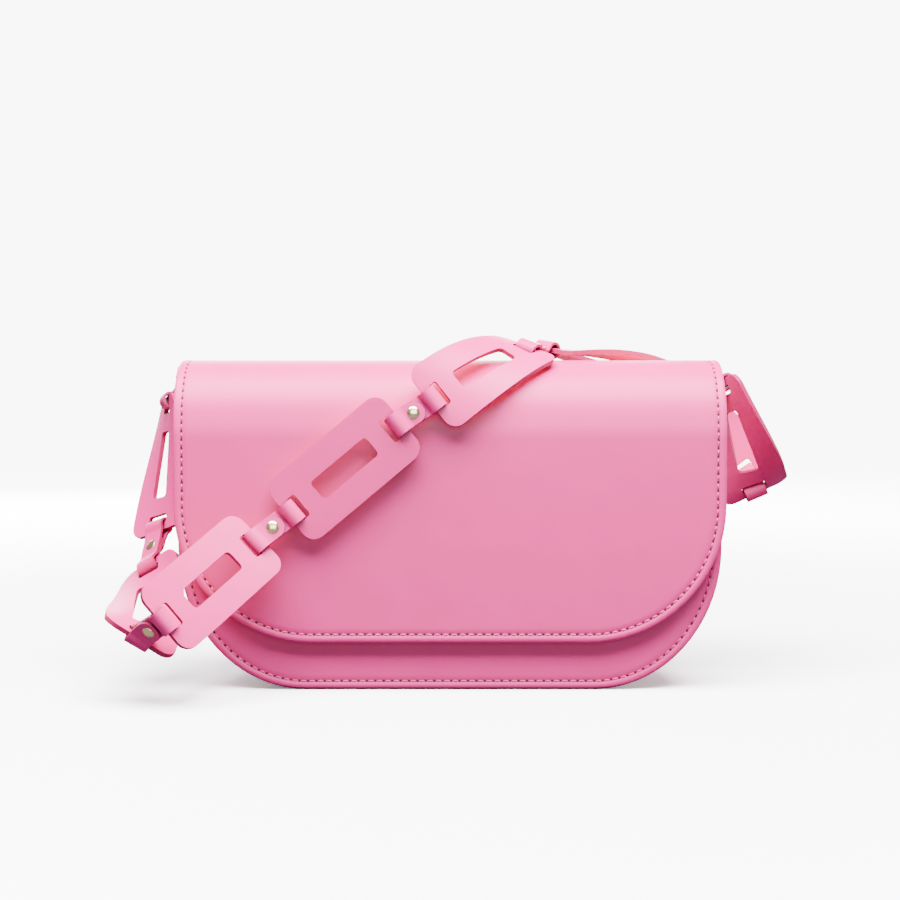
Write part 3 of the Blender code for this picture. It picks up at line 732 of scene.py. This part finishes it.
class LinkRibbon(Ribbon):
    """The direction across is squared up to the curve."""

    def place(self, s, w, n):
        p, along, across, over = self.frame(s)
        across = unit(across - along * across.dot(along))
        return p + along * over + across * w + np.cross(across, along) * n

    def bar(self, far):
        s = self.long - BAR / 2 if far else BAR / 2
        _, along, across, _ = self.frame(s)
        return self.place(s, 0.0, 0.0), unit(across - along * across.dot(along))


class StripRibbon(Ribbon):
    """The curve is squared up to the direction across, so each loop lies along its bar."""

    def place(self, s, w, n):
        p, along, across, over = self.frame(s)
        along = unit(along - across * along.dot(across))
        return p + along * over + across * w + np.cross(across, along) * n


def rounded(s, start, end, half, corner):
    """Half the width at s of a rectangle from start to end with rounded corners."""
    near = min(s - start, end - s)
    if near >= corner:
        return half
    near = max(0.0, near)
    return half - corner + np.sqrt(max(0.0, corner ** 2 - (corner - near) ** 2))


def corner_stations(start, end, corner, count):
    steps = [corner * (1 - np.cos(0.5 * np.pi * k / count)) for k in range(count + 1)]
    return [start + x for x in steps] + [end - x for x in steps]


def mark_edges(thing, first):
    """Faces from the first on are cut edges."""
    for face in thing.data.polygons[first:]:
        face.material_index = CUT


def make_link(name, ribbon):
    far = LINK_LONG
    slots = [(BAR, BAR + SLOT_LONG), (far - BAR - SLOT_LONG, far - BAR)]
    holes = [(*slots[0], SLOT_HALF, SLOT_CORNER),
             (WINDOW_START, far - WINDOW_START, WINDOW_HALF, WINDOW_CORNER),
             (*slots[1], SLOT_HALF, SLOT_CORNER)]
    stations = corner_stations(0.0, far, LINK_CORNER, 9)
    for start, end, _, corner in holes:
        stations += corner_stations(start, end, corner, 5)
    stations += list(np.linspace(SLOT_LONG + BAR, far - BAR - SLOT_LONG, 24))
    stations = sorted(set(np.round(stations, 3)))
    stations = [s for s, t in zip(stations, stations[1:] + [99.0]) if t - s > 0.02]

    lines, open_cells = [], []
    parts = 4
    for i, s in enumerate(stations):
        outer = rounded(s, 0.0, far, LINK_HALF, LINK_CORNER)
        share = np.clip((s - 8.4) / 8.8, 0, 1) if s < far / 2 else np.clip((far - s - 8.4) / 8.8, 0, 1)
        inside = SLOT_HALF + (WINDOW_HALF - SLOT_HALF) * share
        for start, end, half, corner in holes:
            if start - 1e-3 <= s <= end + 1e-3:
                inside = rounded(s, start, end, half, corner)
            if start - 1e-3 <= s < end - 1e-3:
                open_cells.append(i)
        left = list(np.linspace(-outer, -inside, parts + 1))
        lines.append(left + list(np.linspace(-inside, inside, 3))[1:-1] + [-w for w in left[::-1]])
    wide = len(lines[0])
    points = [ribbon.place(s, w, n) for n in (LINK_THICK / 2, -LINK_THICK / 2)
              for s, line in zip(stations, lines) for w in line]
    layer = wide * len(stations)
    top = [[wide * i + j, wide * i + j + 1, wide * i + j + 1 + wide, wide * i + j + wide]
           for i in range(len(stations) - 1) for j in range(wide - 1)
           if not (j in (parts, parts + 1) and i in open_cells)]
    faces = top + [[v + layer for v in face[::-1]] for face in top]
    edges = {(face[k], face[(k + 1) % 4]) for face in top for k in range(4)}
    faces += [[b, a, a + layer, b + layer] for a, b in edges if (b, a) not in edges]
    link = add_mesh(f"{name}_leather", points, faces)
    mark_edges(link, 2 * len(top))
    # the rounding takes the darker edge colour: a painted shade outline round the link
    return soften(link, LINK_ROUNDING, material=CUT)


def arc(s, n, start, end, count):
    turns = np.radians(np.linspace(start, end, count))
    return [(s + LOOP_RADIUS * np.cos(t), n + LOOP_RADIUS * np.sin(t)) for t in turns]


def strip_path(span, rivet, layers):
    """The middle of a connector's strip seen from its edge."""
    step = STRIP_THICK + 0.12 if layers == 3 else PAIR_STEP
    tab_end = rivet + TAB_RADIUS
    tab = [(tab_end - x, step) for x in (0.0, 0.15, 0.5, 1.0, 2.0, 3.4, TAB_RADIUS, TAB_RADIUS + FLAT)]
    path = tab + [(3.4, 0.5 * (step + 2.6))] + arc(0.0, 0.0, 62, 298, 17)
    path += [(3.4, -0.5 * (step + 2.6)), (rivet - FLAT, -step)]
    if layers == 2:
        path += [(tab_end - x, -step) for x in (TAB_RADIUS, 3.4, 2.0, 1.0, 0.5, 0.15, 0.0)]
        return path
    path += [(span - 5.2, -step), (span - 3.4, -0.5 * (step + 2.6))]
    path += arc(span, 0.0, 242, 508, 19)
    return path + [(span - 3.9, 0.5), (span - 5.0, 0.0), (rivet, 0.0), (rivet - 2.8, 0.0)]


def make_connector(name, ribbon, span, layers):
    rivet = span if layers == 2 else min(span / 2, span - TAB_RADIUS - 5.4)
    raw = strip_path(span, rivet, layers)
    path, tabs = [], []
    tab_end = rivet + TAB_RADIUS
    for k, (start, end) in enumerate(zip(raw, raw[1:])):
        step = np.subtract(end, start)
        count = max(1, int(np.ceil(np.linalg.norm(step) / 1.1)))
        on_tab = k < 7 or (layers == 2 and k >= len(raw) - 8)
        for c in range(count):
            path.append(np.asarray(start) + step * c / count)
            tabs.append(on_tab)
    path.append(np.asarray(raw[-1]))
    tabs.append(layers == 2)
    path = np.array(path)
    sides = left_normals(path) * STRIP_THICK / 2
    points = []
    for (s, n), side, on_tab in zip(path, sides, tabs):
        half = STRIP_HALF
        if on_tab and s > rivet:
            near = min(1.0, (s - rivet) / (tab_end - rivet))
            half = max(0.5, STRIP_HALF * np.sqrt(max(0.0, 1 - near ** 2)))
        for sign, w in ((1, -half), (1, 0.0), (1, half), (-1, half), (-1, 0.0), (-1, -half)):
            points.append(ribbon.place(s + sign * side[0], w, n + sign * side[1]))
    last = 6 * (len(path) - 1)
    faces = [[6 * k + j, 6 * k + (j + 1) % 6, 6 * k + 6 + (j + 1) % 6, 6 * k + 6 + j]
             for j in (0, 1, 3, 4, 2, 5) for k in range(len(path) - 1)]
    flat = 4 * (len(path) - 1)
    faces += [[0, 1, 4, 5], [1, 2, 3, 4], [last, last + 1, last + 4, last + 5],
              [last + 1, last + 2, last + 3, last + 4]]
    strip = add_mesh(f"{name}_strip", points, faces)
    mark_edges(strip, flat)
    # the rounding takes the darker edge colour: a painted shade outline round the strip
    soften(strip, STRIP_ROUNDING, material=CUT)
    middle = ribbon.place(rivet, 0.0, 0.0)
    return strip, middle, ribbon.place(rivet, 0.0, 1.0) - middle


def make_rivet(name, middle, axis, low, high):
    """A domed head at each end; the shank between is hidden in the strip."""
    dome = RIVET_DOME
    head = [(0.05, high + dome), (0.8, high + 0.93 * dome), (1.6, high + 0.74 * dome),
            (2.3, high + 0.45 * dome), (2.75, high + 0.16 * dome), (RIVET_HEAD, high - 0.02),
            (2.7, high - 0.12)]
    tail = [(2.7, low + 0.12), (RIVET_HEAD, low), (2.75, low - 0.12), (2.0, low - 0.34), (0.9, low - 0.45),
            (0.05, low - 0.48)]
    return turned(f"{name}_head", middle, axis, head + [(1.2, high - 0.12), (1.2, low + 0.12)] + tail)


def make_anchor(name, side, rivet_at, looks):
    _, y, rivet_z = rivet_at
    out_x = abs(rivet_at[0]) - ANCHOR_OFF
    foot = 98.0
    raw = [(ANCHOR_INNER, foot), (ANCHOR_INNER, rivet_z - 24.0), (ANCHOR_INNER + 0.3, rivet_z - 21.0),
           (out_x - 0.3, rivet_z - 16.0), (out_x, rivet_z - 13.0), (out_x, rivet_z)]
    rows = [(x, z, ANCHOR_HALF) for x, z in through_curve(raw, 1.5)]
    for turn in range(8, 90, 8):
        rows.append((out_x, rivet_z + ANCHOR_HALF * np.sin(np.radians(turn)),
                     ANCHOR_HALF * np.cos(np.radians(turn))))
    points = [(side * (x + out), y + sign * half, z) for x, z, half in rows
              for out, sign in ((0, -1), (0, 1), (ANCHOR_THICK, 1), (ANCHOR_THICK, -1))]
    last = 4 * (len(rows) - 1)
    faces = [[4 * k + j, 4 * k + (j + 1) % 4, 4 * k + 4 + (j + 1) % 4, 4 * k + 4 + j]
             for k in range(len(rows) - 1) for j in range(4)]
    faces += [[0, 1, 2, 3], [last, last + 1, last + 2, last + 3]]
    tab = soften(add_mesh(f"{name}_tab", points, faces), 0.35, 2)
    finish(tab, "bag", [name], looks["leather"])


def make_strap(looks):
    ribbons = {}
    for name, shape in LINKS.items():
        ribbons[name] = LinkRibbon(*shape, LINK_LONG)
        link = make_link(name, ribbons[name])
        if name == "link_6":
            finish(link, None, [name], looks["leather"], looks["edge"])
            apply_modifiers(link)
            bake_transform(link)
        else:
            finish(link, name, [name], looks["leather"], looks["edge"])

    step = STRIP_THICK + GAP
    for k in range(1, len(LINKS)):
        start, across_start = ribbons[f"link_{k}"].bar(True)
        end, across_end = ribbons[f"link_{k + 1}"].bar(False)
        chord = end - start
        span = np.linalg.norm(chord)
        leave = chord - across_start * chord.dot(across_start)
        arrive = chord - across_end * chord.dot(across_end)
        ribbon = StripRibbon(start, end, leave, arrive, across_start, across_end, span)
        strip, middle, axis = make_connector(f"connector_{k}", ribbon, span, 3)
        body = "flap" if k == 5 else f"connector_{k}"
        finish(strip, body, [f"connector_{k}"], looks["leather"], looks["edge"])
        high = step + STRIP_THICK / 2 - 0.1
        rivet = make_rivet(f"rivet_{k}", middle, axis, -high, high)
        finish(rivet, body, [f"rivet_{k}"], looks["gold"])

    ends = (("link_1", False, ANCHOR_LEFT, "connector_0", "rivet_0", "anchor_left", -1),
            ("link_8", True, ANCHOR_RIGHT, "connector_8", "rivet_8", "anchor_right", 1))
    for link, far, anchor, name, rivet_name, tab, side in ends:
        bar, across = ribbons[link].bar(far)
        chord = np.asarray(anchor) - bar
        span = np.linalg.norm(chord)
        up = 1.0 if chord[2] > 0 else -1.0
        leave = unit((-side * 1.0, 0.0, up * 0.7))
        leave = leave - across * leave.dot(across)
        ribbon = StripRibbon(bar, anchor, leave, (0.0, 0.0, up), across, (0.0, -1.0, 0.0), span)
        strip, middle, axis = make_connector(name, ribbon, span, 2)
        finish(strip, name, [name], looks["leather"], looks["edge"])
        make_anchor(tab, side, anchor, looks)
        face = PAIR_STEP + STRIP_THICK / 2 + 0.1
        inward = 1.0 if axis[0] * side < 0.0 else -1.0
        rivet = make_rivet(rivet_name, middle, -axis * inward, -face, face + 0.3)
        finish(rivet, name, [rivet_name], looks["gold"])


# ---------------------------------------------------------------- the studio
def paper_material():
    """White paper. It shows brighter than the light it throws back on the bag, and glows for the camera
    away from the bag, where the light falls off."""
    made = bpy.data.materials.new("paper")
    made.use_nodes = True
    tree = made.node_tree
    tree.nodes.remove(tree.nodes["Principled BSDF"])
    path = tree.nodes.new("ShaderNodeLightPath")
    white = tree.nodes.new("ShaderNodeMapRange")
    white.inputs["To Min"].default_value = PAPER_BOUNCE
    white.inputs["To Max"].default_value = PAPER_WHITE
    tree.links.new(path.outputs["Is Camera Ray"], white.inputs["Value"])
    matt = tree.nodes.new("ShaderNodeBsdfDiffuse")
    tree.links.new(white.outputs["Result"], matt.inputs["Color"])
    place = tree.nodes.new("ShaderNodeTexCoord")
    far = tree.nodes.new("ShaderNodeVectorMath")
    far.operation = "LENGTH"
    tree.links.new(place.outputs["Object"], far.inputs[0])
    ramp = tree.nodes.new("ShaderNodeMapRange")
    ramp.interpolation_type = "SMOOTHSTEP"
    for socket, value in (("From Min", GLOW_NEAR[0]), ("From Max", GLOW_FAR[0]), ("To Min", GLOW_NEAR[1]),
                          ("To Max", GLOW_FAR[1])):
        ramp.inputs[socket].default_value = value
    tree.links.new(far.outputs["Value"], ramp.inputs["Value"])
    strength = tree.nodes.new("ShaderNodeMath")
    strength.operation = "MULTIPLY"
    tree.links.new(ramp.outputs["Result"], strength.inputs[0])
    tree.links.new(path.outputs["Is Camera Ray"], strength.inputs[1])
    glow = tree.nodes.new("ShaderNodeEmission")
    tree.links.new(strength.outputs[0], glow.inputs["Strength"])
    both = tree.nodes.new("ShaderNodeAddShader")
    tree.links.new(matt.outputs[0], both.inputs[0])
    tree.links.new(glow.outputs[0], both.inputs[1])
    tree.links.new(both.outputs[0], tree.nodes["Material Output"].inputs["Surface"])
    return made


def area_light(name, place, aim, size, power, matt=True):
    light = bpy.data.lights.new(name, "AREA")
    light.shape = "RECTANGLE"
    light.size, light.size_y = size
    light.energy = power
    thing = bpy.data.objects.new(name, light)
    bpy.context.scene.collection.objects.link(thing)
    back = unit(np.subtract(place, aim))
    right = unit(np.cross((0, 0, 1), back)) if abs(back[2]) < 0.99 else np.array([1.0, 0.0, 0.0])
    up = np.cross(back, right)
    placed = np.eye(4)
    placed[:3, 0], placed[:3, 1], placed[:3, 2], placed[:3, 3] = right, up, back, place
    thing.matrix_world = Matrix(placed.tolist())
    thing.visible_camera = False
    thing.visible_diffuse = matt


def make_studio():
    mesh = bpy.data.meshes.new("floor")
    corners = [(x, y, 0.0) for x, y in ((-1, -1), (1, -1), (1, 1), (-1, 1))]
    mesh.from_pydata([(FLOOR_HALF * x, FLOOR_HALF * y, z) for x, y, z in corners], [], [[0, 1, 2, 3]])
    floor = bpy.data.objects.new("floor", mesh)
    bpy.context.scene.collection.objects.link(floor)
    mesh.materials.append(paper_material())

    world = bpy.data.worlds.new("studio")
    bpy.context.scene.world = world
    world.use_nodes = True
    tree = world.node_tree
    sky = tree.nodes["Background"]
    sky.inputs["Color"].default_value = (1.0, 1.0, 1.0, 1.0)
    path = tree.nodes.new("ShaderNodeLightPath")
    bright = tree.nodes.new("ShaderNodeMapRange")
    bright.inputs["To Min"].default_value = WORLD
    bright.inputs["To Max"].default_value = SURROUND
    tree.links.new(path.outputs["Is Camera Ray"], bright.inputs["Value"])
    tree.links.new(bright.outputs["Result"], sky.inputs["Strength"])
    for name, light in LIGHTS.items():
        area_light(name, *light)


def make_camera():
    lens = bpy.data.cameras.new("camera")
    lens.lens = CAMERA_LENS
    lens.sensor_width = 36.0
    camera = bpy.data.objects.new("camera", lens)
    bpy.context.scene.collection.objects.link(camera)
    camera.location = CAMERA_PLACE
    camera.rotation_euler = (np.radians(90.0 - CAMERA_DOWN), 0.0, 0.0)
    bpy.context.scene.camera = camera


looks = {
    "leather": leather_material("pink leather", PINK),
    # the edge colour: real edge paint plus painted shade that outlines the edges
    "edge": leather_material("cut edge", EDGE_PAINT_AND_SHADE_PINK, 0.55, 0.10),
    "thread": plain_material("pink thread", (0.93, 0.07, 0.34), 0.55),
    "hole": plain_material("painted hole shade", (0.10, 0.004, 0.025), 0.9),
    # painted shade: the near-black colour of the stitch holes
    "cloth": cloth_material("pink cloth", (0.62, 0.16, 0.33)),
    "gold": plain_material("pale gold", (1.0, 0.79, 0.46), 0.22, 1.0),
}
make_bag(looks)
make_strap(looks)
make_studio()
make_camera()
